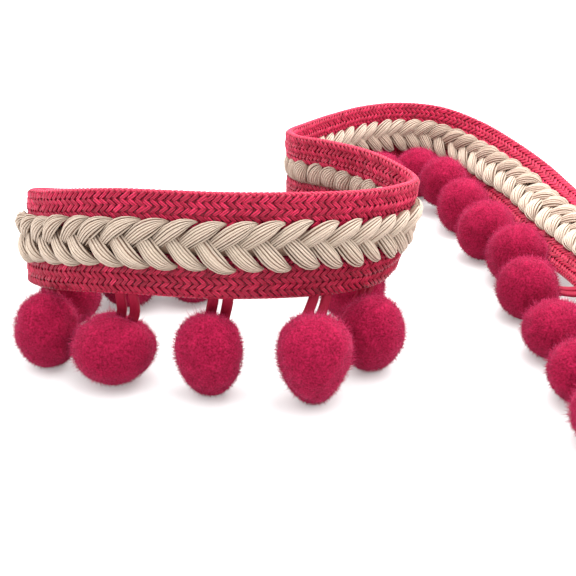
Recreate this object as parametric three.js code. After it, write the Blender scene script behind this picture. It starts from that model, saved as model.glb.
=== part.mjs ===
// Pompom fringe trim: two braided bands joined by a herringbone plait, with pompoms hung on flat loops
// along the lower edge. The cut length stands on its pompoms in a loose snake.
import * as THREE from 'three';

// Driving dimensions, in millimetres and degrees.
const TAPE_WIDTH = 25.4;
const TAPE_THICK = 2.2;
const EDGE_ROUND = 0.4; // how far the rounded edge of a band reaches past its flat faces
const GAP = 0.4; // clearance between neighbouring pieces
const CAP_GAP = 0.8; // clearance between the plait's overhang and the bands under it

const PLAIT_MID = 0.8; // the plait's centre line lies this far above the middle of the tape
const PLAIT_HALF = 5.6; // half of its width on the face, at the tips of the lobes
const PLAIT_NOTCH = 0.6; // how far the edge draws in between two lobes
const PLAIT_RISE = 2.3; // height of the lobes over the overhang's underside
const PLAIT_PITCH = 6.6; // from lobe to lobe along the tape
const LOBE_SLANT = 1.18; // run along the tape for each millimetre across, so lobes lie like arrow heads
const STRAIGHTEN = 16; // length over which the arrow heads square up to a cut end
const STEM_HALF = 3.2; // half of the plait's width between the bands and on the back
const BACK_EDGE = 0.2; // how far the edges of the back strip stand proud of the bands
const BACK_RISE = 0.9; // how far its lumps stand proud

const POMPOM_PITCH = 24.4;
const FOOT_RADIUS = 3.4; // flat where a pompom rests
const LUMP = 0.025; // unevenness of a pompom, as a share of its radius
const CROWN = 0.95; // share of the radius at which a pompom is drawn in flat under its loop
const SIDES = 12;
const RINGS = 7;

const RIBBON_WIDE = 2.6; // one leg of a loop
const RIBBON_THICK = 0.7;
const LEG_GAP = 0.9; // between the two legs
const FOLD = 0.8; // depth of the fold that joins the legs at the pompom
const ROOT_GAP = 1.2; // from the lower edge to the top of a loop

const BAND_STEP = 6; // longest step along a band
const BAND_TURN = 8; // and most that it turns in one step

const PINK = 0xc22a58;
const CREAM = 0xe2d8bf;
const CRIMSON = 0xbd1e55;

// The tape's centre line from its hidden end to the far cut end: place, height and how far the top leans
// back from the face.
const ROUTE = [
  { x: -30.5, y: -5.5, z: 16.5, lean: 12 }, // cut end behind the front run
  { x: -46, y: -3.5, z: 17, lean: 12 },
  { x: -61, y: -4.5, z: 18, lean: 11 },
  { x: -74.5, y: -9.5, z: 19.8, lean: 9 },
  { x: -83, y: -19.5, z: 22.8, lean: 7 }, // left turn
  { x: -82.7, y: -31, z: 26.4, lean: 7 },
  { x: -75.3, y: -42, z: 30, lean: 8 },
  { x: -64.3, y: -50.5, z: 33.4, lean: 9 }, // front run
  { x: -53.5, y: -55.8, z: 35.4, lean: 10 },
  { x: -42, y: -58.5, z: 35.9, lean: 10 },
  { x: -30, y: -59.5, z: 35.8, lean: 10 },
  { x: -17.5, y: -58, z: 35.2, lean: 9 },
  { x: -6, y: -53.5, z: 33.8, lean: 7 },
  { x: 4, y: -46.5, z: 31.9, lean: 4 },
  { x: 11.5, y: -37.5, z: 30.2, lean: -2.5 }, // right turn
  { x: 16.3, y: -26, z: 28.8, lean: -11 },
  { x: 13, y: -14, z: 29, lean: -7 },
  { x: 7, y: -0.5, z: 28.5, lean: -1 }, // middle run, seen from the back
  { x: -2.5, y: 12, z: 27.5, lean: 2 },
  { x: -11.5, y: 24, z: 25.5, lean: 2 },
  { x: -14, y: 38, z: 23.5, lean: 1 }, // far left turn
  { x: -8, y: 52, z: 22, lean: 3 },
  { x: 2, y: 67, z: 21, lean: 6 },
  { x: 14, y: 80, z: 20.5, lean: 7 },
  { x: 28, y: 89, z: 19.5, lean: 9 }, // far bend
  { x: 42.5, y: 89.5, z: 18, lean: 14 },
  { x: 53.5, y: 79, z: 16, lean: 23 },
  { x: 60.5, y: 63, z: 14.5, lean: 36 }, // side run, leaning back
  { x: 66.5, y: 45, z: 13, lean: 48 },
  { x: 70.5, y: 26, z: 11.5, lean: 57 },
  { x: 74.5, y: 5.5, z: 11, lean: 61 },
  { x: 78, y: -17, z: 12.5, lean: 63 },
  { x: 79.5, y: -43, z: 14, lean: 62 },
  { x: 80, y: -71, z: 15.5, lean: 58 },
  { x: 79, y: -105, z: 17, lean: 54 },
];

// The pompoms in the order they hang: centre in plan, width, height, how far one is held off the floor, how
// far the root of its loop slips along the edge from an even pitch, and how much fuller it is at the top
// and slimmer at the foot than an even ball, as a share of its radius.
const POMPOMS = [
  { x: -42.4, y: -15.2, wide: 17.6, tall: 17.4, lift: 0, slip: 0, egg: 0 },
  { x: -61, y: -18, wide: 17.4, tall: 17.4, lift: 0, slip: 0, egg: 0 },
  { x: -75.4, y: -28.6, wide: 17.2, tall: 18.2, lift: 0, slip: 5, egg: 0 },
  { x: -76, y: -51.6, wide: 16.4, tall: 19.6, lift: 0, slip: -1, egg: 0 },
  { x: -57.9, y: -59.5, wide: 20.4, tall: 17.4, lift: 0, slip: 3, egg: 0.06 },
  { x: -33.8, y: -65.2, wide: 16.6, tall: 21, lift: 0, slip: 3, egg: 0.14 },
  { x: -8.9, y: -69.2, wide: 18.2, tall: 22.4, lift: 0, slip: 4, egg: 0.26 },
  { x: 5.9, y: -53.9, wide: 17, tall: 19.8, lift: 0, slip: -5, egg: 0.1 },
  { x: 3, y: -26.5, wide: 18.6, tall: 19, lift: 0, slip: -7, egg: 0 },
  { x: -2.5, y: -6.5, wide: 19, tall: 18.8, lift: 0, slip: -4, egg: 0 },
  { x: -16.5, y: 10.5, wide: 18.8, tall: 19, lift: 0, slip: -3, egg: 0 },
  { x: -1, y: 30.5, wide: 18.6, tall: 18.8, lift: 0, slip: -12, egg: 0 },
  { x: 7, y: 49, wide: 19, tall: 18.6, lift: 0, slip: -8, egg: 0 },
  { x: 19.5, y: 63.5, wide: 18.4, tall: 18.6, lift: 1.7, slip: -10, egg: 0 },
  { x: 35, y: 74.5, wide: 18.2, tall: 18.6, lift: 0, slip: -5, egg: 0 },
  { x: 41.5, y: 56, wide: 17.6, tall: 17.8, lift: 3, slip: 9, egg: 0 },
  { x: 45.5, y: 37.6, wide: 18.4, tall: 19, lift: 0, slip: 7, egg: 0 },
  { x: 49, y: 15, wide: 18.8, tall: 19.2, lift: 0, slip: 5, egg: 0 },
  { x: 54.3, y: -4, wide: 18.4, tall: 18.8, lift: 0, slip: 1, egg: 0 },
  { x: 52.5, y: -25.5, wide: 18.2, tall: 17.4, lift: 0, slip: 2, egg: 0 },
  { x: 54.5, y: -47.9, wide: 18, tall: 15.2, lift: 0, slip: 1, egg: 0 },
  { x: 55.3, y: -68.9, wide: 17.6, tall: 15.8, lift: 0, slip: 0, egg: 0 },
  { x: 55.3, y: -87.2, wide: 17.4, tall: 16, lift: 0, slip: -6, egg: 0 },
];

// The plait's face from its upper tips to its lower tips, as shares of its half width and of its rise.
const PLAIT_FACE = [
  { across: 1, rise: 0.22 },
  { across: 0.72, rise: 0.8 },
  { across: 0.32, rise: 1 },
  { across: 0, rise: 0.7 },
  { across: -0.32, rise: 1 },
  { across: -0.72, rise: 0.8 },
  { across: -1, rise: 0.22 },
];

// Each lobe in three steps along the tape: the groove before it, its crest and its back.
const LOBE = [
  { swell: 0.55, notch: 1 },
  { swell: 1, notch: 0.3 },
  { swell: 0.9, notch: 0 },
];

const HALF_WIDTH = TAPE_WIDTH / 2;
const HALF_THICK = TAPE_THICK / 2;
const UP = new THREE.Vector3(0, 0, 1);

// The centre line and the lean, both smooth through every row of the route.
const route = new THREE.CatmullRomCurve3(
  ROUTE.map((row) => new THREE.Vector3(row.x, row.y, row.z)), false, 'catmullrom', 0.5);
route.arcLengthDivisions = ROUTE.length * 60;
const leans = new THREE.CatmullRomCurve3(
  ROUTE.map((row) => new THREE.Vector3(row.lean, 0, 0)), false, 'catmullrom', 0.5);
const LENGTH = route.getLength();

// Where the tape is at a distance along it: its middle, the way it runs, up across its width and its face.
function tapeAt(along) {
  const share = THREE.MathUtils.clamp(along / LENGTH, 0, 1);
  const t = route.getUtoTmapping(share);
  const run = route.getTangent(t);
  const out = new THREE.Vector3(run.y, -run.x, 0).normalize();
  const lean = THREE.MathUtils.degToRad(leans.getPoint(t).x);
  const up = UP.clone().multiplyScalar(Math.cos(lean)).addScaledVector(out, -Math.sin(lean));
  up.addScaledVector(run, -up.dot(run)).normalize();
  return { middle: route.getPoint(t), run, up, face: run.clone().cross(up) };
}

// A point of the tape: along it, across it from its middle, and out from its middle plane.
function tapePoint(along, across, out) {
  const tape = tapeAt(along);
  return tape.middle.clone().addScaledVector(tape.up, across).addScaledVector(tape.face, out);
}

function geometryOf(points, triangles) {
  const geometry = new THREE.BufferGeometry();
  geometry.setFromPoints(points);
  geometry.setIndex(triangles.flat());
  geometry.computeVertexNormals();
  return geometry;
}

// A closed body through rings of equal count, each anticlockwise about the way the body runs. The outline
// is the ring's flat shape, for filling the two ends.
function loft(rings, outline) {
  const count = rings[0].length;
  const triangles = [];
  for (let i = 0; i + 1 < rings.length; i += 1) {
    for (let j = 0; j < count; j += 1) {
      const a = i * count + j;
      const b = i * count + ((j + 1) % count);
      triangles.push([a, b, b + count], [a, b + count, a + count]);
    }
  }
  const last = (rings.length - 1) * count;
  for (const [a, b, c] of THREE.ShapeUtils.triangulateShape(outline, [])) {
    triangles.push([a, c, b], [last + a, last + b, last + c]);
  }
  return geometryOf(rings.flat(), triangles);
}

// Distances along the tape for a band's rings: long steps on the straight, short ones in the turns.
function bandSteps() {
  const steps = [0];
  while (steps[steps.length - 1] < LENGTH) {
    const here = steps[steps.length - 1];
    const run = tapeAt(here).run;
    let step = BAND_STEP;
    while (step > 2 && THREE.MathUtils.radToDeg(run.angleTo(tapeAt(here + step).run)) > BAND_TURN) {
      step -= 0.5;
    }
    steps.push(here + step);
  }
  const stretch = LENGTH / steps[steps.length - 1];
  return steps.map((step) => step * stretch);
}

// A flat braided band between two heights across the tape, rounded along its outer edge.
function bandGeometry(inner, outer) {
  const shoulder = outer - Math.sign(outer) * EDGE_ROUND;
  const outline = [
    new THREE.Vector2(inner, -HALF_THICK),
    new THREE.Vector2(shoulder, -HALF_THICK),
    new THREE.Vector2(outer, 0),
    new THREE.Vector2(shoulder, HALF_THICK),
    new THREE.Vector2(inner, HALF_THICK),
  ];
  if (outer < inner) {
    outline.reverse();
  }
  const rings = bandSteps().map((along) => outline.map((corner) => tapePoint(along, corner.x, corner.y)));
  return loft(rings, outline);
}

// One ring of the plait across the tape, with the lobes as swollen and the edge as notched as given.
function plaitOutline(swell, notch) {
  const under = HALF_THICK + CAP_GAP;
  const back = -HALF_THICK - BACK_EDGE;
  const half = PLAIT_HALF - notch * PLAIT_NOTCH;
  const face = PLAIT_FACE.map((row) => new THREE.Vector2(
    PLAIT_MID + row.across * half, under + row.rise * swell * PLAIT_RISE));
  return [
    new THREE.Vector2(PLAIT_MID - STEM_HALF, back),
    new THREE.Vector2(PLAIT_MID, -HALF_THICK - BACK_RISE * swell),
    new THREE.Vector2(PLAIT_MID + STEM_HALF, back),
    new THREE.Vector2(PLAIT_MID + STEM_HALF, under),
    ...face,
    new THREE.Vector2(PLAIT_MID - STEM_HALF, under),
  ];
}

// The plait: rings bent into arrow heads, so that each lobe slants from the centre line to its tip.
function plaitGeometry() {
  const lobes = Math.round(LENGTH / PLAIT_PITCH);
  const count = lobes * LOBE.length;
  const rings = [];
  for (let i = 0; i <= count; i += 1) {
    const along = (LENGTH * i) / count;
    const square = Math.min(along, LENGTH - along, STRAIGHTEN) / STRAIGHTEN;
    const step = LOBE[i % LOBE.length];
    rings.push(plaitOutline(step.swell, step.notch).map((corner) => {
      const slant = Math.abs(corner.x - PLAIT_MID) * LOBE_SLANT * square;
      return tapePoint(along + slant, corner.x, corner.y);
    }));
  }
  return loft(rings, plaitOutline(LOBE[0].swell, LOBE[0].notch));
}

// Where a pompom hangs: its centre, the root of its loop on the lower edge and the way from one to the other.
function hangAt(row, index) {
  const margin = (LENGTH - POMPOM_PITCH * (POMPOMS.length - 1)) / 2;
  const tape = tapeAt(margin + POMPOM_PITCH * index + row.slip);
  const root = tape.middle.clone().addScaledVector(tape.up, -HALF_WIDTH - ROOT_GAP);
  const centre = new THREE.Vector3(row.x, row.y, row.lift + row.tall / 2);
  const way = root.clone().sub(centre).normalize();
  const flat = Math.hypot(way.x, way.y) / (row.wide / 2);
  const radius = 1 / Math.hypot(flat, way.z / (row.tall / 2));
  return { tape, root, centre, way, crown: radius * CROWN };
}

// A pompom: an uneven ball on a flat foot, drawn in under its loop.
function pompomGeometry(row, index) {
  const hang = hangAt(row, index);
  const footAngle = Math.asin(FOOT_RADIUS / (row.wide / 2));
  const footDepth = (row.tall / 2) * (1 - Math.cos(footAngle));
  const stretch = row.tall / (row.tall - footDepth);
  const points = [new THREE.Vector3(0, 0, 0)];
  for (let i = 0; i < RINGS; i += 1) {
    const polar = footAngle + ((Math.PI - footAngle) * i) / RINGS;
    const height = ((row.tall / 2) * (1 - Math.cos(polar)) - footDepth) * stretch;
    for (let j = 0; j < SIDES; j += 1) {
      const turn = (2 * Math.PI * (j + 0.5 * (i % 2))) / SIDES;
      const lump = LUMP * (Math.sin(2 * turn + 1.9 * index) + Math.sin(3 * turn + 2.7 * index + 2 * polar));
      const full = 1 - row.egg * Math.cos(polar) + lump * Math.sin(polar);
      const radius = (row.wide / 2) * Math.sin(polar) * full;
      points.push(new THREE.Vector3(radius * Math.cos(turn), radius * Math.sin(turn), height));
    }
  }
  points.push(new THREE.Vector3(0, 0, row.tall));
  const middle = new THREE.Vector3(0, 0, row.tall / 2);
  for (const point of points) {
    const beyond = point.clone().sub(middle).dot(hang.way) - hang.crown;
    point.addScaledVector(hang.way, -Math.max(beyond, 0));
    point.add(new THREE.Vector3(row.x, row.y, row.lift));
  }
  return geometryOf(points, ballTriangles());
}

// Triangles of a ball: a fan at the foot, bands between rings set half a step apart and a fan at the top.
function ballTriangles() {
  const top = 1 + RINGS * SIDES;
  const at = (ring, side) => 1 + ring * SIDES + ((side + SIDES) % SIDES);
  const triangles = [];
  for (let j = 0; j < SIDES; j += 1) {
    triangles.push([0, at(0, j + 1), at(0, j)]);
    triangles.push([top, at(RINGS - 1, j), at(RINGS - 1, j + 1)]);
    for (let i = 0; i + 1 < RINGS; i += 1) {
      if (i % 2 === 0) {
        triangles.push([at(i, j), at(i, j + 1), at(i + 1, j)]);
        triangles.push([at(i, j + 1), at(i + 1, j + 1), at(i + 1, j)]);
      } else {
        triangles.push([at(i, j), at(i, j + 1), at(i + 1, j + 1)]);
        triangles.push([at(i, j), at(i + 1, j + 1), at(i + 1, j)]);
      }
    }
  }
  return triangles;
}

// A loop: a flat ribbon that runs from the lower edge to the pompom, folds across and comes back.
function hangerGeometry(row, index) {
  const { tape, root, centre, way, crown } = hangAt(row, index);
  const end = centre.clone().addScaledVector(way, crown + GAP);
  const flat = tape.run.clone().addScaledVector(way, -tape.run.dot(way)).normalize();
  const thick = flat.clone().cross(way);
  const bridge = Math.max(1 - FOLD / root.distanceTo(end), 0.5);
  const inner = LEG_GAP / 2;
  const outer = inner + RIBBON_WIDE;
  const corner = (share, side, out) => {
    const wide = tape.run.clone().lerp(flat, share);
    const middle = root.clone().lerp(end, share);
    return middle.addScaledVector(wide, side).addScaledVector(thick, out * RIBBON_THICK / 2);
  };
  const ring = (innerShare, outerShare, leg) => [
    corner(innerShare, leg * inner, -1),
    corner(outerShare, leg * outer, -1),
    corner(outerShare, leg * outer, 1),
    corner(innerShare, leg * inner, 1),
  ];
  const rings = [ring(0, 0, 1), ring(bridge, 1, 1), ring(bridge, 1, -1), ring(0, 0, -1)];
  const square = [[0, 0], [1, 0], [1, 1], [0, 1]].map(([x, y]) => new THREE.Vector2(x, y));
  return loft(rings, square);
}

function piece(name, geometry, color, roughness) {
  const material = new THREE.MeshStandardMaterial({ color, roughness, metalness: 0 });
  const mesh = new THREE.Mesh(geometry, material);
  mesh.name = name;
  return mesh;
}

const trim = new THREE.Group();
const bandInner = STEM_HALF + GAP;
trim.add(piece('upper_braid', bandGeometry(PLAIT_MID + bandInner, HALF_WIDTH), PINK, 0.6));
trim.add(piece('lower_braid', bandGeometry(PLAIT_MID - bandInner, -HALF_WIDTH), PINK, 0.6));
trim.add(piece('plait', plaitGeometry(), CREAM, 0.7));
POMPOMS.forEach((row, index) => {
  const number = String(index + 1).padStart(2, '0');
  trim.add(piece(`hanger_${number}`, hangerGeometry(row, index), PINK, 0.6));
  trim.add(piece(`pompom_${number}`, pompomGeometry(row, index), CRIMSON, 0.9));
});

// The origin is under the middle of the whole trim, on the surface that it stands on.
const box = new THREE.Box3().setFromObject(trim);
const middle = box.getCenter(new THREE.Vector3());
trim.position.set(-middle.x, -middle.y, -box.min.z);

export default trim;
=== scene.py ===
# Looks of the pompom fringe trim: its yarns, pile, light and camera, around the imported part.
import math
from collections import namedtuple

import bpy
import numpy as np
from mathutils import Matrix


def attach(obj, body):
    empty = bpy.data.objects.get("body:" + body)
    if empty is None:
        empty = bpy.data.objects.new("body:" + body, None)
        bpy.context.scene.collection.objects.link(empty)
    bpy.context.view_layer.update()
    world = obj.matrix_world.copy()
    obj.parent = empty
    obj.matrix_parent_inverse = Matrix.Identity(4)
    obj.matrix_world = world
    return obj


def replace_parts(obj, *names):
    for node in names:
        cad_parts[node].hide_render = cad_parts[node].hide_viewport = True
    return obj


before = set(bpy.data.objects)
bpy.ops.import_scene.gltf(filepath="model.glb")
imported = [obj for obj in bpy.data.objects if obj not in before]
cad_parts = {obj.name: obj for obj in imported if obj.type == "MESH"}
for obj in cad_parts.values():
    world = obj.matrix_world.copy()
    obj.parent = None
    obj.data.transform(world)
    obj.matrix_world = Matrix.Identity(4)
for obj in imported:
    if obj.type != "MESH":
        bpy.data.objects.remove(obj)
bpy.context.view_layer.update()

MM = 0.001
SEED = 7
random = np.random.default_rng(SEED)

# The tape.
TAPE_WIDTH = 25.4 * MM
HALF_WIDTH = TAPE_WIDTH / 2
HALF_THICK = 1.1 * MM
PLAIT_MID = 0.8 * MM  # the plait's centre line lies this far above the middle of the tape
STEM_HALF = 3.2 * MM  # half of the plait's width between the bands and on the back
BAND_GAP = 0.4 * MM  # between the plait's stem and each band
UPPER_INNER = PLAIT_MID + STEM_HALF + BAND_GAP
LOWER_INNER = PLAIT_MID - STEM_HALF - BAND_GAP
BAND_RISE = 0.45 * MM  # how far the middle of a band stands over its two edges
END_FRAY = 0.6 * MM  # the cut yarns stand at most this far out of the ends
ROUTE_STEPS = 60  # samples of the route for each row of its table
STATION_STEP = 0.1 * MM
TURN_STEP = 1e-3  # rows to each side of a station over which its direction is taken

# The ground cloth of the bands, under their stitches.
GROUND_TUCK = 1.2 * MM  # how far it runs in under the plait
GROUND_INSET = 0.4 * MM  # how far it stops inside the edges of the tape
GROUND_SINK = 0.35 * MM  # how far it lies below the faces of the tape along its edges
GROUND_HALF = HALF_THICK - GROUND_SINK
GROUND_ROUND = 0.5 * MM  # width of its rounded edge
GROUND_STEP = 2 * MM
# Painted shade on the ground cloth, darkened where it shows in the gaps between the stitches.
GROUND_SHADED_TONE = 0.25

# The braided rows of the bands.
UPPER_ROWS = 5
LOWER_ROWS = 6
UPPER_BRIGHTNESS = 1.0
LOWER_SHADED_BRIGHTNESS = 0.75  # painted shade: the lower band is darkened as if in the plait's shade
STITCH_PITCH = 1.75 * MM
STITCH_RUN = 2.3 * MM  # how far a stitch runs along the tape
STITCH_REACH = 1.2  # how far it reaches across, in rows
STITCH_WIDE = 0.57 * MM  # half width of its two yarns
STITCH_HIGH = 0.28 * MM
STITCH_SINK = 0.42 * MM  # how far its start lies below the face of the tape
STITCH_BULGE = 0.34 * MM  # how far its middle stands over its start
ROW_STEP = 0.06 * MM  # alternate rows lie higher and lower by this much
# The steps of a stitch as shares of its run, and its rise at each as a share of its bulge.
STITCH_SHARES = np.array([0.0, 0.2, 0.8, 1.0])
STITCH_RISE = np.array([0.0, 0.9, 1.0, 0.1])
# The shares of its width, height and tone that a stitch has at its start, where it tucks under; the lower
# tone there is painted shade.
START_WIDE = 0.86
START_HIGH = 0.6
START_SHADED_TONE = 0.25
# How far the stitches differ in their place, slant, size and tone.
STITCH_SLIP = 0.12 * MM
STITCH_WANDER = 0.06 * MM
STITCH_SLANT = 0.06
STITCH_SWELL = 0.09
STITCH_SHADE = 0.15

# The short stitches that turn over the edges of the tape.
EDGE_PITCH = 1.3 * MM
EDGE_ROLL = 0.8 * MM  # width of the rolled edge outside the rows
EDGE_STEPS = 5
EDGE_YARN = np.array([0.75, 0.3]) * MM  # half width and half height of the yarn
EDGE_AXIS = 0.85 * MM  # the stitch turns about a line this far inside the edge
EDGE_DEPTH = 0.72 * MM  # how far the middle of the yarn turns out from that line
EDGE_HIGH = 0.82 * MM  # and how far it stands to each face
EDGE_RUN = 1.0 * MM  # how far it runs along the tape in each half of its turn
EDGE_FIRST = 0.4 * MM  # from the first end of the tape to the first stitch
EDGE_LAST = 2.4 * MM  # from the last stitch's start to the last end
EDGE_SLIP = 0.06 * MM
EDGE_GRAIN = 2.4  # length of the yarn in millimetres, for its grain
# Painted shade where the edge stitches tuck in at the faces, and a painted highlight where they turn over
# the edge.
EDGE_SHADED_TONE = 0.55
EDGE_PAINTED_HIGHLIGHT = 0.3  # painted highlight: how much lighter it is where it turns over the edge

# The plait.
PLAIT_PITCH = 6.6 * MM
LOBE_LAG = 3.7 * MM  # the lower lobes start this far after the upper ones
LOBE_YARNS = 7
LOBE_STEPS = 11
LOBE_BEFORE = 5 * MM  # the first lobes may start this far before the first end, which cuts them
LOBE_PAST = 1 * MM  # and the last ones this far past the last end
LOBE_DOME = 0.48  # drop of a lobe's edge yarns, as a share of its half width
BACK_LAG = 2 * MM  # the bundles on the back start this far after the first end
BACK_YARNS = 8
BACK_STEPS = 8
BACK_DOME = 0.22
# The lobes lie fuller on the far run: shares of the tape's length, and the fullness at each.
FULL_AT = (0.5, 0.62)
FULLNESS = (1.0, 1.16)
YARN_FILL = 1.03  # width of a yarn over its share of the lobe, so that neighbours press together
YARN_LEAST = 0.13 * MM
YARN_TALL = 1.2  # height of a yarn over its width
BASE_SHADED_TONE = 0.5  # painted shade: tone of a yarn at its tucked base
YARN_EDGE_PAINTED_SHADE = 0.25  # painted shade: how much darker the edge yarns of a bundle are, where they drop
BODY_DEPTH = 0.35 * MM  # how deep the body inside a bundle goes below its edge yarns
BODY_SHARE = 0.94  # width of the body over that of its bundle
# Painted shade on the body inside a bundle, seen between its yarns.
BODY_SHADED_TONE = 0.12
# How far the bundles differ in size, place and reach, and their yarns in place and height.
BUNDLE_SWELL = 0.06
BUNDLE_SLIP = 0.24 * MM
BUNDLE_REACH = 0.03
YARN_WANDER = 0.06 * MM
YARN_LIFT = 0.09 * MM

# The padding inside the plait: the corners of its section, across the tape and out from its middle plane.
PADDING_SECTION = np.array([
    (-2.9, -1.0), (2.9, -1.0), (2.9, 1.0), (1.6, 1.9), (0, 2.1), (-1.6, 1.9), (-2.9, 1.0),
]) * MM
PADDING_SHORT = 1.2 * MM  # it stops this far inside the cut ends
PADDING_STEP = 2 * MM
# Painted shade on the padding, seen between the lobes.
PADDING_SHADED_TONE = 0.15

# The pompoms: a ball of packed pile with loose fibres.
POMPOM_PITCH = 24.4 * MM
FOOT_RADIUS = 3.4 * MM
LUMP = 0.025  # height of the lumps, as a share of the half width
LUMP_TURNS = (1.9, 2.7)  # how far the two waves of lumps turn from each pompom to the next, in radians
CROWN = 0.95  # where the loop goes in, as a share of the way from the middle to the surface
LOOP_BACK = 0.45  # how far that way leans back from the face of the tape
DIMPLE = 1.1 * MM  # how far the loop draws in the pile around it
DIMPLE_SPREAD = 0.07  # how wide it does so, as one less the cosine of the angle from the loop
DIMPLE_PAINTED_SHADE = 0.6  # painted shade: how much darker the fibres are there, in the shade of the loop and tape
BALL_DEPTH = 0.4 * MM  # how far the ball lies below the surface of the pile
BALL_RINGS = 32
BALL_SIDES = 48
BALL_POLE = 0.03  # angle from each pole to the nearest ring, in radians
BALL_CLEAR = 0.1  # least height over the floor, in millimetres
# Painted shade on the ball under the fibres.
BALL_SHADED_TONE = 0.35
RIPPLE_WAVES = 12
RIPPLES = [(1.6 * MM, 0.3 * MM), (5 * MM, 0.5 * MM)]  # lengths and heights of the waves over the ball
PILE_FIBRES = 4600
PILE_DEPTH = 0.45 * MM
PILE_WIDE = 0.065 * MM
PILE_WIDTHS = (0.8, 1.3)  # the narrowest and widest fibres, as shares of that
PILE_REACH = 0.5 * MM  # how far most fibres stand over the surface
STRAY_REACH = 0.9 * MM  # and the stray ones
STRAY_SHARE = 0.35
FOOT_REACH = 0.35  # the fibres are pressed down to this share of their reach at the foot
PILE_TURN = 0.02  # how far the fibres stray from even turns, in radians
PILE_LEAN = 0.4 * MM  # how far their tips lean
PILE_CLEAR = 0.05  # least height over the floor, in millimetres
PILE_TONE = 0.5
PILE_SHADE = 0.15  # how far the fibres differ in tone
STRAY_PAINTED_LIGHT_TONE = 0.2  # painted light: how much lighter the stray fibres are, as if light shone through them
TIP_PAINTED_LIGHT_TONE = 0.5  # painted light: and the tips

# The loops that hold the pompoms.
RIBBON_HALF = 1.3 * MM
RIBBON_THICK = 0.6 * MM
LEG_GAP = 0.9 * MM
ROOT_GAP = 1.2 * MM  # from the edge of the tape to the root that a loop hangs from
LOOP_TUCK = 0.8 * MM  # how far the loops start inside the edge
LOOP_SINK = 0.8 * MM  # how deep they end in the pile
LOOP_PULL = 0.3  # how far they leave straight at each end, as a share of their span
LOOP_STEPS = 9
LEG_GRAIN = 8  # repeats of the grain along a leg
LEG_GRAIN_AROUND = 4
LOOP_GRAIN_STEP = 3.0  # from the grain of each loop to the next
LOOP_TONE = 0.8

# The route and the pompoms below are set off by this much, which puts the middle of the part at the origin.
LAY_SHIFT = np.array([-1.4926, 5.5216, 0]) * MM

# The tape's centre line from its hidden end to the far cut end: x, y and z in millimetres, and how far
# the top leans back from the face in degrees.
ROUTE = np.array([
    (-30.5, -5.5, 16.5, 12),
    (-46, -3.5, 17, 12),
    (-61, -4.5, 18, 11),
    (-74.5, -9.5, 19.8, 9),
    (-83, -19.5, 22.8, 7),
    (-82.7, -31, 26.4, 7),
    (-75.3, -42, 30, 8),
    (-64.3, -50.5, 33.4, 9),
    (-53.5, -55.8, 35.4, 10),
    (-42, -58.5, 35.9, 10),
    (-30, -59.5, 35.8, 10),
    (-17.5, -58, 35.2, 9),
    (-6, -53.5, 33.8, 7),
    (4, -46.5, 31.9, 4),
    (11.5, -37.5, 30.2, -2.5),
    (16.3, -26, 28.8, -11),
    (13, -14, 29, -7),
    (7, -0.5, 28.5, -1),
    (-2.5, 12, 27.5, 2),
    (-11.5, 24, 25.5, 2),
    (-14, 38, 23.5, 1),
    (-8, 52, 22, 3),
    (2, 67, 21, 6),
    (14, 80, 20.5, 7),
    (28, 89, 19.5, 9),
    (42.5, 89.5, 18, 14),
    (53.5, 79, 16, 23),
    (60.5, 63, 14.5, 36),
    (66.5, 45, 13, 48),
    (70.5, 26, 11.5, 57),
    (74.5, 5.5, 11, 61),
    (78, -17, 12.5, 63),
    (79.5, -43, 14, 62),
    (80, -71, 15.5, 58),
    (79, -105, 17, 54),
])

# The pompoms in the order they hang, in millimetres: place, width, height, how far one is held off the
# floor, how far the root of its loop slips along the edge, and how much fuller it is at the top.
Pompom = namedtuple("Pompom", "x y wide tall lift slip egg")
POMPOMS = [
    Pompom(-42.4, -15.2, 17.6, 17.4, 0, 0, 0),
    Pompom(-61, -18, 17.4, 17.4, 0, 0, 0),
    Pompom(-75.4, -28.6, 17.2, 18.2, 0, 5, 0),
    Pompom(-76, -51.6, 16.4, 19.6, 0, -1, 0),
    Pompom(-57.9, -59.5, 20.4, 17.4, 0, 3, 0.06),
    Pompom(-33.8, -65.2, 16.6, 21, 0, 3, 0.14),
    Pompom(-8.9, -69.2, 18.2, 22.4, 0, 4, 0.26),
    Pompom(5.9, -53.9, 17, 19.8, 0, -5, 0.1),
    Pompom(3, -26.5, 18.6, 19, 0, -7, 0),
    Pompom(-2.5, -6.5, 19, 18.8, 0, -4, 0),
    Pompom(-16.5, 10.5, 18.8, 19, 0, -3, 0),
    Pompom(-1, 30.5, 18.6, 18.8, 0, -12, 0),
    Pompom(7, 49, 19, 18.6, 0, -8, 0),
    Pompom(19.5, 63.5, 18.4, 18.6, 1.7, -10, 0),
    Pompom(35, 74.5, 18.2, 18.6, 0, -5, 0),
    Pompom(41.5, 56, 17.6, 17.8, 3, 9, 0),
    Pompom(45.5, 37.6, 18.4, 19, 0, 7, 0),
    Pompom(49, 15, 18.8, 19.2, 0, 5, 0),
    Pompom(54.3, -4, 18.4, 18.8, 0, 1, 0),
    Pompom(52.5, -25.5, 18.2, 17.4, 0, 2, 0),
    Pompom(54.5, -47.9, 18, 15.2, 0, 1, 0),
    Pompom(55.3, -68.9, 17.6, 15.8, 0, 0, 0),
    Pompom(55.3, -87.2, 17.4, 16, 0, -6, 0),
]

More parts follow.
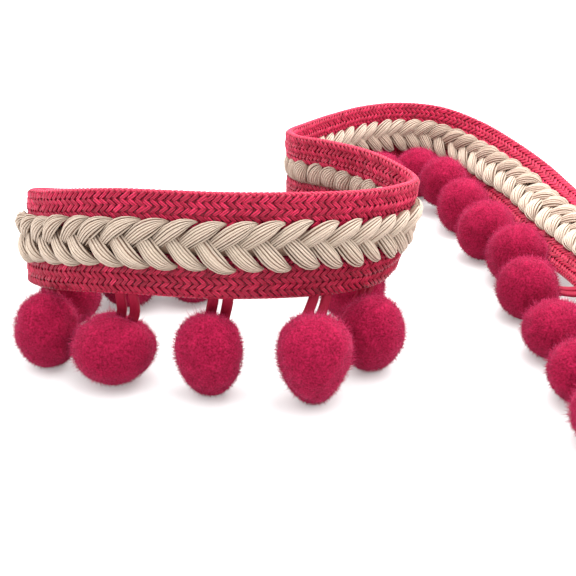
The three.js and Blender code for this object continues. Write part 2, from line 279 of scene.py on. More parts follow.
# One lobe of the plait from its tucked base to its tip, in millimetres: along the tape, out from the plait's
# centre line, half width, and height over the middle plane of the tape. The lower lobes stand steeper.
UPPER_LOBE = np.array([
    (-1.6, -1.6, 1.05, 1.6),
    (-0.3, -0.4, 1.45, 2.6),
    (1.6, 1.2, 1.65, 3.4),
    (3.8, 2.9, 1.75, 3.95),
    (5.9, 4.15, 1.5, 3.8),
    (7.4, 4.75, 1.0, 3.2),
    (8.6, 4.9, 0.5, 2.4),
    (9.4, 4.8, 0.12, 1.5),
]) * MM
LOWER_LOBE = np.array([
    (-1.5, -1.9, 1.1, 1.5),
    (-0.6, -0.8, 1.6, 2.5),
    (0.9, 1.0, 1.85, 3.4),
    (2.5, 2.9, 1.92, 3.95),
    (4.3, 4.5, 1.65, 3.8),
    (5.8, 5.35, 1.1, 3.2),
    (7.0, 5.7, 0.55, 2.4),
    (7.8, 5.7, 0.12, 1.5),
]) * MM

# One bundle on the plait's back, from its lower edge to its upper edge, in the same columns.
BACK_BUNDLE = np.array([
    (1.0, -2.9, 2.4, 0.8),
    (0.9, -1.9, 2.8, 1.4),
    (0.4, -0.5, 2.9, 1.8),
    (-0.6, 0.9, 2.7, 2.0),
    (-1.8, 2.1, 2.2, 1.9),
    (-2.9, 3.0, 1.4, 1.6),
    (-3.6, 3.5, 0.5, 1.1),
]) * MM

# Sections of what is laid, as shares of the half width and height: two yarns side by side with the tone of
# each corner, which paints shade at the edges and in the groove and a highlight on the ridges, one round
# yarn, the body inside a bundle, and a loop's flat leg with two ridges on each face.
PAIR_SECTION = np.array([(-1, -0.9), (-0.55, 0.8), (0, -0.1), (0.55, 0.8), (1, -0.9)])
PAIR_SHADE_AND_HIGHLIGHT = np.array([0.1, 1, 0.4, 1, 0.1])
ROUND_CORNER = 72
ROUND_SECTION = np.array([(math.cos(a), math.sin(a)) for a in np.radians(np.arange(0, 360, ROUND_CORNER))])
BODY_SECTION = np.array([(0.6, -1.4), (1, 0), (0.55, 0.7), (0, 0.95), (-0.55, 0.7), (-1, 0), (-0.6, -1.4)])
LEG_SECTION = np.array([
    (-1, -0.4), (-0.5, -1), (0, -0.6), (0.5, -1), (1, -0.4),
    (1, 0.4), (0.5, 1), (0, 0.6), (-0.5, 1), (-1, 0.4),
])

# The looks of the yarns. The colours of the fibres run from middle to light. They are multiplied by a
# painted shade where a yarn tucks under, and by a painted highlight where it stands highest.
YarnLook = namedtuple("YarnLook", "name dark middle light crest roughness sheen tint")
PINK_LOOK = YarnLook(
    "pink_yarn", (0.26, 0.1, 0.16), (0.33, 0.006, 0.03), (0.58, 0.021, 0.075), (1.55, 2.0, 1.9),
    0.42, 0.1, (1, 0.5, 0.65))
CREAM_LOOK = YarnLook(
    "cream_yarn", (0.36, 0.24, 0.18), (0.42, 0.33, 0.26), (0.58, 0.475, 0.385), (1.12, 1.12, 1.12),
    0.65, 0.1, (1, 0.95, 0.9))
LOOP_LOOK = YarnLook(
    "loop_yarn", (0.25, 0.1, 0.15), (0.2, 0.002, 0.017), (0.32, 0.006, 0.036), (1.2, 1.4, 1.35),
    0.7, 0.0, (1, 0.5, 0.65))
PLAIN_SHADE = (1, 1, 1)
PLAIN_TONE = 0.8  # the tone at which a yarn has its fibres' own colours
FIBRE_STRETCH = (0.9, 9, 1)  # scale of the grain along a yarn, around it and from yarn to yarn
FIBRE_DETAIL = 3
FIBRE_STARTS = 50  # the grain of each yarn starts at a random place up to this
FIBRE_RANGE = (0.3, 0.7)
YARN_GLOSS = 0.2
YARN_BUMP = 0.5
YARN_BUMP_HIGH = 0.08 * MM
SHEEN_ROUGHNESS = 0.4

# The look of the pile.
GRAIN_SCALE = 1900
GRAIN_DETAIL = 4
GRAIN_RANGE = (0.32, 0.68)
GRAIN_DARK = (0.18, 0.003, 0.019)
GRAIN_LIGHT = (0.47, 0.0108, 0.064)
PATCH_SCALE = 420
PATCH_DETAIL = 2
PATCH_RANGE = (0.3, 0.7)
PATCH_SHADE = (0.82, 0.8, 0.8)
# Painted shade deep in the pile at the roots, and painted light on the fibres' tips.
ROOT_PAINTED_SHADE = (0.7, 0.6, 0.65)
TIP_PAINTED_LIGHT = (1.4, 2.0, 1.75)
PILE_ROUGHNESS = 0.95
PILE_GLOSS = 0.1
PILE_SHEEN = 0.3
PILE_TINT = (1.0, 0.25, 0.5)
PILE_BUMP = 0.9
PILE_BUMP_HIGH = 0.25 * MM

# Stage, light and camera.
FLOOR_REACH = 30.0
FLOOR_DROP = 0.05 * MM
FLOOR_COLOUR = (0.6, 0.6, 0.6, 1)
FLOOR_GLOW = 0.25  # a light table under the trim
FLOOR_ROUGHNESS = 0.8
FLOOR_GLOSS = 0.1
WHITE = (1, 1, 1, 1)
SKY = 1.0
# The softboxes: strength, spread and the turns of each about x and y, in degrees.
Softbox = namedtuple("Softbox", "strength spread tip side")
SOFTBOXES = [
    Softbox(3.5, 80, -12, -30),
    Softbox(3.7, 80, -10, 38),
]
# A small lamp hung over the far bend.
LAMP_POWER = 0.24
LAMP_SIZE = 120 * MM
LAMP_PLACE = np.array([70, 50, 155]) * MM
CAMERA_PLACE = np.array([-15, -245, 115.5]) * MM + LAY_SHIFT
CAMERA_TILT = 64
LENS = 54.25
SENSOR = 36
NEAREST = 10 * MM


# From the least share to the whole, as another share goes from nothing to one.
def fade(least, share):
    return least + (1 - least) * share


def unit(vectors):
    return vectors / np.linalg.norm(vectors, axis=-1, keepdims=True)


# The smooth curve through a table's rows, at places given in rows from the first.
def through(rows, places):
    ends = np.vstack([2 * rows[:1] - rows[1:2], rows, 2 * rows[-1:] - rows[-2:-1]])
    first = np.clip(np.floor(places).astype(int), 0, len(rows) - 2)
    s = (places - first)[:, None]
    before, here, after, beyond = (ends[first + k] for k in range(4))
    leave = (after - before) / 2
    arrive = (beyond - here) / 2
    start = here * (2 * s**3 - 3 * s**2 + 1) + leave * (s**3 - 2 * s**2 + s)
    return start + after * (3 * s**2 - 2 * s**3) + arrive * (s**3 - s**2)


# Stations along the tape with their middle, run, up and face.
places = np.linspace(0, len(ROUTE) - 1, ROUTE_STEPS * len(ROUTE) + 1)
line = through(ROUTE, places)[:, :3] * MM
lengths = np.concatenate([[0], np.cumsum(np.linalg.norm(np.diff(line, axis=0), axis=1))])
LENGTH = lengths[-1]
stations = np.linspace(0, LENGTH, int(LENGTH / STATION_STEP) + 1)
station_places = np.interp(stations, lengths, places)


def station_frames():
    here = through(ROUTE, station_places)
    low = np.clip(station_places - TURN_STEP, 0, len(ROUTE) - 1)
    high = np.clip(station_places + TURN_STEP, 0, len(ROUTE) - 1)
    run = unit((through(ROUTE, high) - through(ROUTE, low))[:, :3])
    out = unit(np.stack([run[:, 1], -run[:, 0], 0 * run[:, 0]], axis=1))
    lean = np.radians(here[:, 3:])
    up = np.cos(lean) * np.array([0, 0, 1]) - np.sin(lean) * out
    up = unit(up - (up * run).sum(1, keepdims=True) * run)
    return here[:, :3] * MM + LAY_SHIFT, run, up, np.cross(run, up)


station_middle, station_run, station_up, station_face = station_frames()


def at_stations(values, along):
    return np.stack([np.interp(along, stations, values[:, k]) for k in range(3)], axis=-1)


# Points of the tape: along it, across it from its middle, and out from its middle plane.
def on_tape(along, across, out):
    inside = np.clip(along, 0, LENGTH)
    point = at_stations(station_middle, inside)
    point += at_stations(station_run, inside) * (along - inside)[..., None]
    point += at_stations(station_up, inside) * across[..., None]
    return point + at_stations(station_face, inside) * out[..., None]


# A mesh from arrays of points and triangles, riding on the part.
def add_piece(name, points, triangles, material):
    mesh = bpy.data.meshes.new(name)
    mesh.vertices.add(len(points))
    mesh.vertices.foreach_set("co", points.astype(np.float32).ravel())
    mesh.loops.add(triangles.size)
    mesh.loops.foreach_set("vertex_index", triangles.astype(np.int32).ravel())
    mesh.polygons.add(len(triangles))
    mesh.polygons.foreach_set("loop_start", np.arange(0, triangles.size, 3, dtype=np.int32))
    mesh.update(calc_edges=True)
    mesh.shade_smooth()
    mesh.materials.append(material)
    piece = bpy.data.objects.new(name, mesh)
    bpy.context.scene.collection.objects.link(piece)
    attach(piece, "root")
    return piece


def set_attribute(piece, name, values):
    kind = "FLOAT" if values.ndim == 1 else "FLOAT_VECTOR"
    field = "value" if values.ndim == 1 else "vector"
    attribute = piece.data.attributes.new(name, kind, "POINT")
    attribute.data.foreach_set(field, values.astype(np.float32).ravel())


def yarn_piece(name, laid, material):
    points, triangles, fibre, tone = laid
    piece = add_piece(name, points, triangles, material)
    set_attribute(piece, "fibre", fibre)
    set_attribute(piece, "tone", tone)
    return piece


# The fibre and tone values of a piece with no yarns of its own.
def plain_values(points, tone):
    return np.zeros((len(points), 3)), np.full(len(points), tone)


# Triangles of closed tubes whose points are ordered by tube, step and corner.
def tube_triangles(tubes, steps, corners):
    j = np.arange(corners)
    k = (j + 1) % corners
    start = (np.arange(steps - 1) * corners)[:, None]
    sides = np.stack([start + j, start + k, start + k + corners], axis=-1)
    others = np.stack([start + j, start + k + corners, start + j + corners], axis=-1)
    fan = np.stack([np.zeros(corners - 2, int), np.arange(1, corners - 1), np.arange(2, corners)], axis=-1)
    last = (steps - 1) * corners
    one = np.concatenate([sides.reshape(-1, 3), others.reshape(-1, 3), fan[:, ::-1], last + fan])
    return (one + (np.arange(tubes) * steps * corners)[:, None, None]).reshape(-1, 3)


# Where the points of yarns lie along and around them, with a random start for each yarn, for the grain.
def fibre_values(length, corners, yarns):
    starts = random.random((yarns, 1, 1)) * FIBRE_STARTS
    values = np.broadcast_arrays(length, np.linspace(0, 1, corners), starts)
    return np.stack(values, axis=-1).reshape(-1, 3)


# Yarns laid on the tape. Centre lines and half sizes are arrays by yarn and step, and the section is a
# list of corners as shares of the half width and height. A side of -1 lays them on the back.
def lay_yarns(along, across, out, wide, high, section, side):
    step_along = np.gradient(along, axis=1)
    step_across = np.gradient(across, axis=1)
    size = np.hypot(step_along, step_across)
    aside = section[:, 0] * wide[..., None]
    raised = section[:, 1] * high[..., None]
    ring_along = along[..., None] - aside * (step_across / size)[..., None]
    ring_across = across[..., None] + aside * (step_along / size)[..., None]
    yarns, steps = along.shape
    fray = END_FRAY * random.random((yarns, 1, 1))
    ring_along = np.clip(ring_along, -fray, LENGTH + fray)
    points = on_tape(ring_along, ring_across, side * (out[..., None] + raised))
    triangles = tube_triangles(yarns, steps, len(section))
    if side > 0:
        triangles = triangles[:, ::-1]
    length = np.cumsum(np.hypot(size, np.gradient(out, axis=1)), axis=1) / MM
    return points.reshape(-1, 3), triangles, fibre_values(length[..., None], len(section), yarns)


# Several sets of points, triangles and further point values as one.
def joined(*sets):
    counts = np.cumsum([0] + [len(one[0]) for one in sets])
    points = np.concatenate([one[0] for one in sets])
    triangles = np.concatenate([one[1] + count for one, count in zip(sets, counts)])
    return points, triangles, *(np.concatenate(values) for values in zip(*(one[2:] for one in sets)))


# Materials.
def new_material(name):
    material = bpy.data.materials.new(name)
    material.use_nodes = True
    tree = material.node_tree
    return material, tree, tree.nodes["Principled BSDF"]


def attribute_node(tree, name):
    node = tree.nodes.new("ShaderNodeAttribute")
    node.attribute_name = name
    return node


def noise(tree, place, scale, detail):
    node = tree.nodes.new("ShaderNodeTexNoise")
    node.inputs["Scale"].default_value = scale
    node.inputs["Detail"].default_value = detail
    tree.links.new(place, node.inputs["Vector"])
    return node.outputs["Fac"]


# Noise drawn out along the yarns, read from the fibre attribute.
def fibre_noise(tree):
    fibre = attribute_node(tree, "fibre")
    mapping = tree.nodes.new("ShaderNodeMapping")
    mapping.inputs["Scale"].default_value = FIBRE_STRETCH
    tree.links.new(fibre.outputs["Vector"], mapping.inputs["Vector"])
    return noise(tree, mapping.outputs["Vector"], 1.0, FIBRE_DETAIL)


def ramp(tree, value, stops):
    node = tree.nodes.new("ShaderNodeValToRGB")
    elements = node.color_ramp.elements
    while len(elements) < len(stops):
        elements.new(0.5)
    for element, (position, colour) in zip(elements, stops):
        element.position = position
        element.color = (*colour, 1)
    tree.links.new(value, node.inputs["Fac"])
    return node.outputs["Color"]


def multiply(tree, first, second):
    node = tree.nodes.new("ShaderNodeMix")
    node.data_type = "RGBA"
    node.blend_type = "MULTIPLY"
    node.inputs["Factor"].default_value = 1.0
    tree.links.new(first, node.inputs["A"])
    tree.links.new(second, node.inputs["B"])
    return node.outputs["Result"]


def bump(tree, shader, height, strength, distance):
    node = tree.nodes.new("ShaderNodeBump")
    node.inputs["Strength"].default_value = strength
    node.inputs["Distance"].default_value = distance
    tree.links.new(height, node.inputs["Height"])
    tree.links.new(node.outputs["Normal"], shader.inputs["Normal"])


def set_finish(shader, roughness, gloss):
    shader.inputs["Roughness"].default_value = roughness
    shader.inputs["Specular IOR Level"].default_value = gloss


def set_sheen(shader, weight, tint):
    shader.inputs["Sheen Weight"].default_value = weight
    shader.inputs["Sheen Roughness"].default_value = SHEEN_ROUGHNESS
    shader.inputs["Sheen Tint"].default_value = (*tint, 1)


# Spun yarn: fine lengthwise fibres, with painted shade where it tucks under and a painted highlight where it
# stands highest.
def yarn_material(look):
    material, tree, shader = new_material(look.name)
    fibres = fibre_noise(tree)
    body = ramp(tree, fibres, list(zip(FIBRE_RANGE, (look.middle, look.light))))
    tone = attribute_node(tree, "tone").outputs["Fac"]
    # Painted shade below the plain tone and a painted highlight above it.
    depth = ramp(tree, tone, [(0.0, look.dark), (PLAIN_TONE, PLAIN_SHADE), (1.0, look.crest)])
    tree.links.new(multiply(tree, body, depth), shader.inputs["Base Color"])
    set_finish(shader, look.roughness, YARN_GLOSS)
    set_sheen(shader, look.sheen, look.tint)
    bump(tree, shader, fibres, YARN_BUMP, YARN_BUMP_HIGH)
    return material


# Packed cut pile: crimson with a fine random grain of lighter and darker specks, painted shade towards the
# roots and painted light on the tips.
def pile_material():
    material, tree, shader = new_material("pompom_pile")
    place = tree.nodes.new("ShaderNodeTexCoord").outputs["Object"]
    grain = noise(tree, place, GRAIN_SCALE, GRAIN_DETAIL)
    patch = noise(tree, place, PATCH_SCALE, PATCH_DETAIL)
    tips = ramp(tree, grain, list(zip(GRAIN_RANGE, (GRAIN_DARK, GRAIN_LIGHT))))
    fields = ramp(tree, patch, list(zip(PATCH_RANGE, (PATCH_SHADE, PLAIN_SHADE))))
    tone = attribute_node(tree, "tone").outputs["Fac"]
    # Painted shade at the roots and painted light at the tips, from the tone.
    painted_shading = ramp(tree, tone, [(0.0, ROOT_PAINTED_SHADE), (1.0, TIP_PAINTED_LIGHT)])
    body = multiply(tree, multiply(tree, tips, fields), painted_shading)
    tree.links.new(body, shader.inputs["Base Color"])
    set_finish(shader, PILE_ROUGHNESS, PILE_GLOSS)
    set_sheen(shader, PILE_SHEEN, PILE_TINT)
    bump(tree, shader, grain, PILE_BUMP, PILE_BUMP_HIGH)
    return material


def floor_material():
    material, _, shader = new_material("white_floor")
    shader.inputs["Base Color"].default_value = FLOOR_COLOUR
    shader.inputs["Emission Color"].default_value = WHITE
    shader.inputs["Emission Strength"].default_value = FLOOR_GLOW
    set_finish(shader, FLOOR_ROUGHNESS, FLOOR_GLOSS)
    return material


PINK_YARN = yarn_material(PINK_LOOK)
CREAM_YARN = yarn_material(CREAM_LOOK)
LOOP_YARN = yarn_material(LOOP_LOOK)
PILE = pile_material()


# The ground of one band: a closed strip, crowned and rounded along its outer edge.
def ground_strip(inner, outer):
    along = np.linspace(0, LENGTH, int(LENGTH / GROUND_STEP))[:, None]
    shoulder = outer - math.copysign(GROUND_ROUND, outer)
    middle = (inner + shoulder) / 2
    crown = GROUND_HALF + BAND_RISE
    across = np.array([inner, middle, shoulder, outer, shoulder, middle, inner])
    out = np.array([-GROUND_HALF, -crown, -GROUND_HALF, 0, GROUND_HALF, crown, GROUND_HALF])
    points = on_tape(*np.broadcast_arrays(along, across, out))
    triangles = tube_triangles(1, len(along), len(across))
    if outer < inner:
        triangles = triangles[:, ::-1]
    return points.reshape(-1, 3), triangles


def add_ground():
    edge = HALF_WIDTH - GROUND_INSET
    upper = ground_strip(UPPER_INNER - GROUND_TUCK, edge)
    lower = ground_strip(LOWER_INNER + GROUND_TUCK, -edge)
    points, triangles = joined(upper, lower)
    # The ground gets a low tone: painted shade.
    laid = (points, triangles, *plain_values(points, GROUND_SHADED_TONE))
    ground = yarn_piece("tape_ground", laid, PINK_YARN)
    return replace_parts(ground, "upper_braid", "lower_braid")


# One row of slanting stitches, each of two yarns. A lean of -1 slants them the other way.
def stitch_row(middle, row_size, crown, lean, side, brightness):
    count = int(LENGTH / STITCH_PITCH)
    start = np.linspace(0, LENGTH - STITCH_RUN, count)[:, None]
    along = start + random.normal(0, STITCH_SLIP, (count, 1)) + STITCH_SHARES * STITCH_RUN
    slant = (STITCH_SHARES - 0.5) * row_size * STITCH_REACH * lean
    across = middle + slant * random.normal(1, STITCH_SLANT, (count, 1))
    across = across + random.normal(0, STITCH_WANDER, (count, 1))
    swell = random.normal(1, STITCH_SWELL, (count, 1))
    out = HALF_THICK - STITCH_SINK + crown + STITCH_BULGE * STITCH_RISE * swell + ROW_STEP * lean
    wide = STITCH_WIDE * fade(START_WIDE, STITCH_RISE) * swell
    high = np.broadcast_to(STITCH_HIGH * fade(START_HIGH, STITCH_RISE), wide.shape)
    laid = lay_yarns(along, across, out, wide, high, PAIR_SECTION, side)
    # The tone differs at random from stitch to stitch about the band's brightness; it paints shade at the
    # tucked starts, at the edges and in the groove, and a highlight on the ridges.
    shade = random.normal(brightness, STITCH_SHADE, (count, 1, 1))
    tone = shade * fade(START_SHADED_TONE, STITCH_RISE)[:, None] * PAIR_SHADE_AND_HIGHLIGHT
    return *laid, tone.ravel()


# The rows on one face of a band, alternate rows leaning opposite ways.
def stitch_rows(inner, outer, rows, side, brightness):
    limit = outer - math.copysign(EDGE_ROLL, outer)
    row_size = (limit - inner) / rows
    sets = []
    for row in range(rows):
        middle = limit - (row + 0.5) * row_size
        crown = BAND_RISE * (1 - ((2 * row + 1) / rows - 1) ** 2)
        lean = 1 if row % 2 == 0 else -1
        sets.append(stitch_row(middle, row_size, crown, lean, side, brightness))
    return joined(*sets)


# Short stitches that turn over the outer edge of a band from its back to its face.
def edge_stitches(outer):
    count = int(LENGTH / EDGE_PITCH)
    turn = np.linspace(-0.5, 0.5, EDGE_STEPS)[:, None] * np.pi
    way = math.copysign(1, outer)
    start = np.linspace(EDGE_FIRST, LENGTH - EDGE_LAST, count)[:, None, None]
    start = start + random.normal(0, EDGE_SLIP, (count, 1, 1))
    section = ROUND_SECTION * EDGE_YARN
    along = start + EDGE_RUN * (np.sin(turn) + 1) + section[:, 0]
    across = outer - way * EDGE_AXIS + (EDGE_DEPTH + section[:, 1]) * np.cos(turn) * way
    out = (EDGE_HIGH + section[:, 1]) * np.sin(turn)
    points = on_tape(*np.broadcast_arrays(along, across, out)).reshape(-1, 3)
    triangles = tube_triangles(count, EDGE_STEPS, len(section))
    if way < 0:
        triangles = triangles[:, ::-1]
    fibre = fibre_values(np.linspace(0, EDGE_GRAIN, EDGE_STEPS)[:, None], len(section), count)
    # Painted shade where the yarn tucks in, painted highlight where it turns over the edge.
    tone = np.broadcast_to(EDGE_SHADED_TONE + EDGE_PAINTED_HIGHLIGHT * np.cos(turn), (count, EDGE_STEPS, len(section)))
    return points, triangles, fibre, tone.ravel()


def add_stitches(name, inner, outer, rows, brightness):
    front = stitch_rows(inner, outer, rows, 1, brightness)
    back = stitch_rows(inner, outer, rows, -1, brightness)
    laid = joined(front, back, edge_stitches(outer))
    return yarn_piece(name, laid, PINK_YARN)


# The tones of a bundle's yarns: painted shade where they lie low and towards the edges of the bundle, and a
# painted highlight where they stand highest.
def bundle_tone(spread, height, count):
    risen = (height - height.min()) / np.ptp(height)
    tone = (1 - YARN_EDGE_PAINTED_SHADE * spread**2) * fade(BASE_SHADED_TONE, risen)
    return np.broadcast_to(tone[..., None], (count, *tone.shape, len(ROUND_SECTION))).ravel()


# Bundles of yarns repeated along the plait, each over a body that fills it. A table gives one bundle, and a
# mirror of -1 turns it over the centre line.
def bundles(table, yarns, steps, dome, starts, mirror, side):
    rows = through(table, np.linspace(0, len(table) - 1, steps))
    run, reach, half, height = rows.T
    count = len(starts)
    spread = np.linspace(-1, 1, yarns)[:, None]
    step = np.gradient(rows[:, :2], axis=0)
    normal = unit(np.stack([-step[:, 1], step[:, 0]], axis=1))
    full = np.interp(starts / LENGTH, FULL_AT, FULLNESS)[:, None, None]
    swell = random.normal(1, BUNDLE_SWELL, (count, 1, 1))
    along = starts[:, None, None] + random.normal(0, BUNDLE_SLIP, (count, 1, 1)) + run
    across = reach * random.normal(1, BUNDLE_REACH, (count, 1, 1))
    aside = spread * half * swell * full + random.normal(0, YARN_WANDER, (count, yarns, 1))
    along = np.clip(along + aside * normal[:, 0], 0, LENGTH)
    across = PLAIT_MID + mirror * (across + aside * normal[:, 1])
    lift = random.normal(0, YARN_LIFT, (count, yarns, 1))
    out = height * swell - dome * half * spread**2 + lift
    wide = np.maximum(half / yarns * YARN_FILL * full, YARN_LEAST) * np.ones_like(out)
    lines = [values.reshape(count * yarns, steps) for values in (along, across, out, wide, YARN_TALL * wide)]
    laid = lay_yarns(*lines, ROUND_SECTION, side)
    tone = bundle_tone(spread, height, count)
    middle = yarns // 2
    depth = dome * half + BODY_DEPTH
    body_wide = BODY_SHARE * half * full[:, 0]
    body_high = np.broadcast_to(depth, body_wide.shape)
    body = lay_yarns(along[:, middle], across[:, middle], out[:, middle] - depth,
                     body_wide, body_high, BODY_SECTION, side)
    # The body gets a low tone: painted shade.
    return joined((*laid, tone), (*body, np.full(len(body[0]), BODY_SHADED_TONE)))


# The starts of repeated bundles, from some way before the first place to some way past the tape's last end.
def starts_along(first, before, past):
    return np.arange(first - before, LENGTH + past, PLAIT_PITCH)


def lobes(table, first, mirror):
    starts = starts_along(first, LOBE_BEFORE, LOBE_PAST)
    return bundles(table, LOBE_YARNS, LOBE_STEPS, LOBE_DOME, starts, mirror, 1)


def add_plait_front():
    upper = lobes(UPPER_LOBE, 0, 1)
    lower = lobes(LOWER_LOBE, LOBE_LAG, -1)
    upper_lobes = yarn_piece("upper_lobes", upper, CREAM_YARN)
    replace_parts(upper_lobes, "plait")
    return [upper_lobes, yarn_piece("lower_lobes", lower, CREAM_YARN)]


def add_plait_back():
    starts = starts_along(BACK_LAG, 0, 0)
    laid = bundles(BACK_BUNDLE, BACK_YARNS, BACK_STEPS, BACK_DOME, starts, 1, -1)
    return yarn_piece("plait_back", laid, CREAM_YARN)


# The padding inside the plait that its yarns are laid around.
def add_plait_core():
    along = np.linspace(PADDING_SHORT, LENGTH - PADDING_SHORT, int(LENGTH / PADDING_STEP))[:, None]
    across = PLAIT_MID + PADDING_SECTION[:, 0]
    out = PADDING_SECTION[:, 1]
    points = on_tape(*np.broadcast_arrays(along, across, out)).reshape(-1, 3)
    triangles = tube_triangles(1, len(along), len(across))
    # The padding gets a low tone: painted shade.
    laid = (points, triangles, *plain_values(points, PADDING_SHADED_TONE))
    return yarn_piece("plait_core", laid, CREAM_YARN)


# Where a pompom hangs: the root of its loop, its centre, where the loop goes in, and the tape's run and up.
Hang = namedtuple("Hang", "root centre crown run up")


def hang_at(row, index):
    margin = (LENGTH - POMPOM_PITCH * (len(POMPOMS) - 1)) / 2
    along = np.array(margin + POMPOM_PITCH * index + row.slip * MM)
    up = at_stations(station_up, along)
    root = at_stations(station_middle, along) - up * (HALF_WIDTH + ROOT_GAP)
    centre = np.array([row.x, row.y, row.lift + row.tall / 2]) * MM + LAY_SHIFT
    way = unit(root - centre)
    way = unit(way - LOOP_BACK * at_stations(station_face, along) * np.array([1, 1, 0]))
    across = np.hypot(way[0], way[1]) / (row.wide / 2)
    radius = 1 / np.hypot(across, way[2] / (row.tall / 2)) * MM
    return Hang(root, centre, centre + way * radius * CROWN, at_stations(station_run, along), up)


# Even directions over a ball, as the angle up from its foot and the turn about its height.
def ball_angles(count):
    share = (np.arange(count) + 0.5) / count
    turn = np.arange(count) * np.pi * (3 - math.sqrt(5))
    return np.arccos(1 - 2 * share), turn % (2 * np.pi)


# The surface of a pompom, its outward normals and how far the loop draws it in, at those directions.
def pompom_surface(row, index, polar, turn):
    half_wide = row.wide / 2 * MM
    half_tall = row.tall / 2 * MM
    foot = math.asin(FOOT_RADIUS / half_wide)
    foot_depth = half_tall * (1 - math.cos(foot))
    stretch = 2 * half_tall / (2 * half_tall - foot_depth)
    height = np.maximum(half_tall * (1 - np.cos(polar)) - foot_depth, 0) * stretch
    first, second = (index * step for step in LUMP_TURNS)
    lump = LUMP * (np.sin(2 * turn + first) + np.sin(3 * turn + second + 2 * polar))
    full = 1 - row.egg * np.cos(polar) + lump * np.sin(polar)
    radius = half_wide * np.sin(polar) * full
    floor_point = np.array([row.x, row.y, row.lift]) * MM + LAY_SHIFT
    points = floor_point + np.stack([radius * np.cos(turn), radius * np.sin(turn), height], axis=1)
    normals = unit(np.stack([
        np.cos(turn) * np.sin(polar) / half_wide,
        np.sin(turn) * np.sin(polar) / half_wide,
        -np.cos(polar) / half_tall + row.egg * np.sin(polar) ** 2 / half_tall], axis=1))
    hang = hang_at(row, index)
    from_loop = 1 - unit(points - hang.centre) @ unit(hang.crown - hang.centre)
    drawn = np.exp(-from_loop / DIMPLE_SPREAD)
    return points - normals * DIMPLE * drawn[:, None], normals, drawn


# Small waves over a ball, from a few waves in random ways.
def ripples(points, length, height):
    ways = unit(random.normal(0, 1, (RIPPLE_WAVES, 3))) * 2 * np.pi / length
    phases = random.uniform(0, 2 * np.pi, RIPPLE_WAVES)
    return height * np.sin(points @ ways.T + phases).mean(axis=1, keepdims=True)


# The ball of packed pile.
def pompom_ball(row, index):
    polar = np.repeat(np.linspace(BALL_POLE, np.pi - BALL_POLE, BALL_RINGS), BALL_SIDES)
    turn = np.tile(np.arange(BALL_SIDES) * 2 * np.pi / BALL_SIDES, BALL_RINGS)
    points, normals, drawn = pompom_surface(row, index, polar, turn)
    points = points - normals * BALL_DEPTH
    points += normals * sum(ripples(points, length, height) for length, height in RIPPLES)
    points[:, 2] = np.maximum(points[:, 2], (row.lift + BALL_CLEAR) * MM)
    # The ball gets painted shade, darker still around the loop.
    return points, tube_triangles(1, BALL_RINGS, BALL_SIDES)[:, ::-1], BALL_SHADED_TONE * (1 - drawn)


# Loose fibres: slim three-sided spikes from under the surface to a little over it.
def pompom_fibres(row, index):
    polar, turn = ball_angles(PILE_FIBRES)
    turn = turn + random.normal(0, PILE_TURN, PILE_FIBRES)
    points, normals, drawn = pompom_surface(row, index, polar, turn)
    aside = unit(np.cross(normals, random.normal(0, 1, (PILE_FIBRES, 3))))
    other = np.cross(normals, aside)
    stray = random.random((PILE_FIBRES, 1)) < STRAY_SHARE
    reach = np.abs(random.normal(0, 1, (PILE_FIBRES, 1))) * np.where(stray, STRAY_REACH, PILE_REACH)
    high = np.clip((points[:, 2:] / MM - row.lift) / (row.tall / 2), 0, 1)
    lean = random.normal(0, PILE_LEAN, (PILE_FIBRES, 2))
    tips = points + normals * reach * fade(FOOT_REACH, high) + aside * lean[:, :1] + other * lean[:, 1:]
    angles = np.radians([0, 120, 240])[:, None]
    wide = PILE_WIDE * random.uniform(*PILE_WIDTHS, (PILE_FIBRES, 1, 1))
    around = aside[:, None] * np.cos(angles) + other[:, None] * np.sin(angles)
    base = (points - normals * PILE_DEPTH)[:, None] + around * wide
    spikes = np.concatenate([base, tips[:, None]], axis=1).reshape(-1, 3)
    spikes[:, 2] = np.maximum(spikes[:, 2], (row.lift + PILE_CLEAR) * MM)
    one = np.array([(0, 1, 3), (1, 2, 3), (2, 0, 3)])
    triangles = (one + 4 * np.arange(PILE_FIBRES)[:, None, None]).reshape(-1, 3)
    # The tone differs at random from fibre to fibre, with painted light on the stray fibres and the tips and
    # painted shade around the loop.
    shade = random.normal(PILE_TONE, PILE_SHADE, (PILE_FIBRES, 1)) + STRAY_PAINTED_LIGHT_TONE * stray
    tone = np.clip(shade + np.array([0, 0, 0, TIP_PAINTED_LIGHT_TONE]), 0, 1) * (1 - DIMPLE_PAINTED_SHADE * drawn[:, None])
    return spikes, triangles, tone.ravel()


def add_pompom(row, index):
    points, triangles, tone = joined(pompom_ball(row, index), pompom_fibres(row, index))
    number = f"{index + 1:02d}"
    piece = add_piece(f"pompom_pile_{number}", points, triangles, PILE)
    set_attribute(piece, "tone", tone)
    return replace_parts(piece, f"pompom_{number}")


# The middle of a loop: a curve straight out of the braid's edge and straight into the pile.
def loop_path(hang):
    start = hang.root + hang.up * (ROOT_GAP + LOOP_TUCK)
    way = unit(hang.crown - hang.centre)
    end = hang.crown - way * LOOP_SINK
    pull = np.linalg.norm(end - start) * LOOP_PULL
    leave = start - hang.up * pull
    arrive = end + way * pull
    s = np.linspace(0, 1, LOOP_STEPS)[:, None]
    first = start * (1 - s)**3 + 3 * leave * s * (1 - s)**2
    return first + 3 * arrive * s**2 * (1 - s) + end * s**3


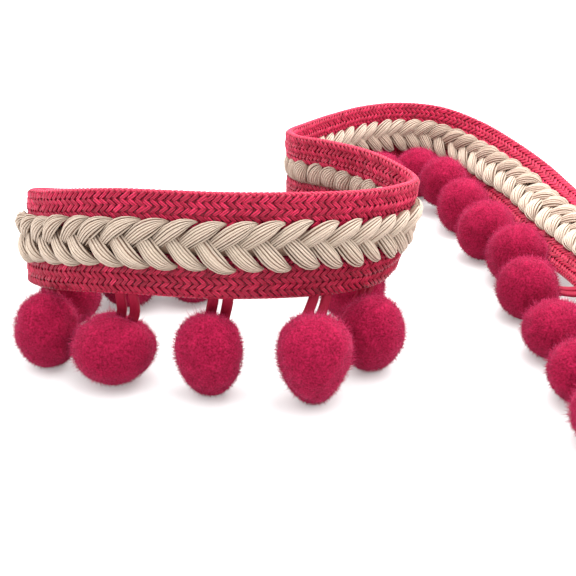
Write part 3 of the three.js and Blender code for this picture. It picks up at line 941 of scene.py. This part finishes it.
# A loop: two flat legs that come out of the braid's edge and sink into the pile.
def add_loop(row, index):
    hang = hang_at(row, index)
    path = loop_path(hang)
    down = unit(np.gradient(path, axis=0))
    flat = unit(hang.run - (down @ hang.run)[:, None] * down)
    thick = np.cross(down, flat)
    triangles = tube_triangles(1, LOOP_STEPS, len(LEG_SECTION))
    along = np.linspace(0, LEG_GRAIN, LOOP_STEPS)[:, None]
    around = np.linspace(0, LEG_GRAIN_AROUND, len(LEG_SECTION))
    sets = []
    for leg in (-1, 1):
        middle = path + flat * leg * (LEG_GAP / 2 + RIBBON_HALF)
        points = middle[:, None] + flat[:, None] * LEG_SECTION[:, :1] * RIBBON_HALF
        points = points + thick[:, None] * LEG_SECTION[:, 1:] * RIBBON_THICK
        grain_start = np.array(index * LOOP_GRAIN_STEP + leg)
        fibre = np.stack(np.broadcast_arrays(along, around, grain_start), axis=-1)
        tone = np.full(points.size // 3, LOOP_TONE)
        sets.append((points.reshape(-1, 3), triangles, fibre.reshape(-1, 3), tone))
    number = f"{index + 1:02d}"
    piece = yarn_piece(f"loop_{number}", joined(*sets), LOOP_YARN)
    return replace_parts(piece, f"hanger_{number}")


def add_floor():
    signs = [(-1, -1), (1, -1), (1, 1), (-1, 1)]
    corners = [(x * FLOOR_REACH, y * FLOOR_REACH, -FLOOR_DROP) for x, y in signs]
    mesh = bpy.data.meshes.new("floor")
    mesh.from_pydata(corners, [], [(0, 1, 2, 3)])
    mesh.materials.append(floor_material())
    floor = bpy.data.objects.new("floor", mesh)
    bpy.context.scene.collection.objects.link(floor)


def add_sky():
    world = bpy.data.worlds.new("studio")
    world.use_nodes = True
    sky = world.node_tree.nodes["Background"]
    sky.inputs["Color"].default_value = WHITE
    sky.inputs["Strength"].default_value = SKY
    bpy.context.scene.world = world


def add_softbox(name, box):
    lamp = bpy.data.lights.new(name, "SUN")
    lamp.energy = box.strength
    lamp.angle = math.radians(box.spread)
    softbox = bpy.data.objects.new(name, lamp)
    softbox.rotation_euler = (math.radians(box.tip), math.radians(box.side), 0)
    bpy.context.scene.collection.objects.link(softbox)


def add_bend_lamp():
    lamp = bpy.data.lights.new("bend_lamp", "AREA")
    lamp.energy = LAMP_POWER
    lamp.size = LAMP_SIZE
    bend_lamp = bpy.data.objects.new("bend_lamp", lamp)
    bend_lamp.location = LAMP_PLACE
    bpy.context.scene.collection.objects.link(bend_lamp)


def add_camera():
    lens = bpy.data.cameras.new("camera")
    lens.lens = LENS
    lens.sensor_width = SENSOR
    lens.clip_start = NEAREST
    camera = bpy.data.objects.new("camera", lens)
    camera.location = CAMERA_PLACE
    camera.rotation_euler = (math.radians(CAMERA_TILT), 0, 0)
    bpy.context.scene.collection.objects.link(camera)
    bpy.context.scene.camera = camera


ground = add_ground()
upper_stitches = add_stitches("upper_stitches", UPPER_INNER, HALF_WIDTH, UPPER_ROWS, UPPER_BRIGHTNESS)
# The lower band's stitches carry painted shade.
lower_stitches = add_stitches("lower_stitches", LOWER_INNER, -HALF_WIDTH, LOWER_ROWS, LOWER_SHADED_BRIGHTNESS)
plait = [add_plait_core(), *add_plait_front(), add_plait_back()]
loops = [add_loop(row, index) for index, row in enumerate(POMPOMS)]
pompoms = [add_pompom(row, index) for index, row in enumerate(POMPOMS)]

add_floor()
add_sky()
for index, box in enumerate(SOFTBOXES):
    add_softbox(f"softbox_{index + 1}", box)
add_bend_lamp()
add_camera()
bpy.context.scene.view_settings.view_transform = "Standard"
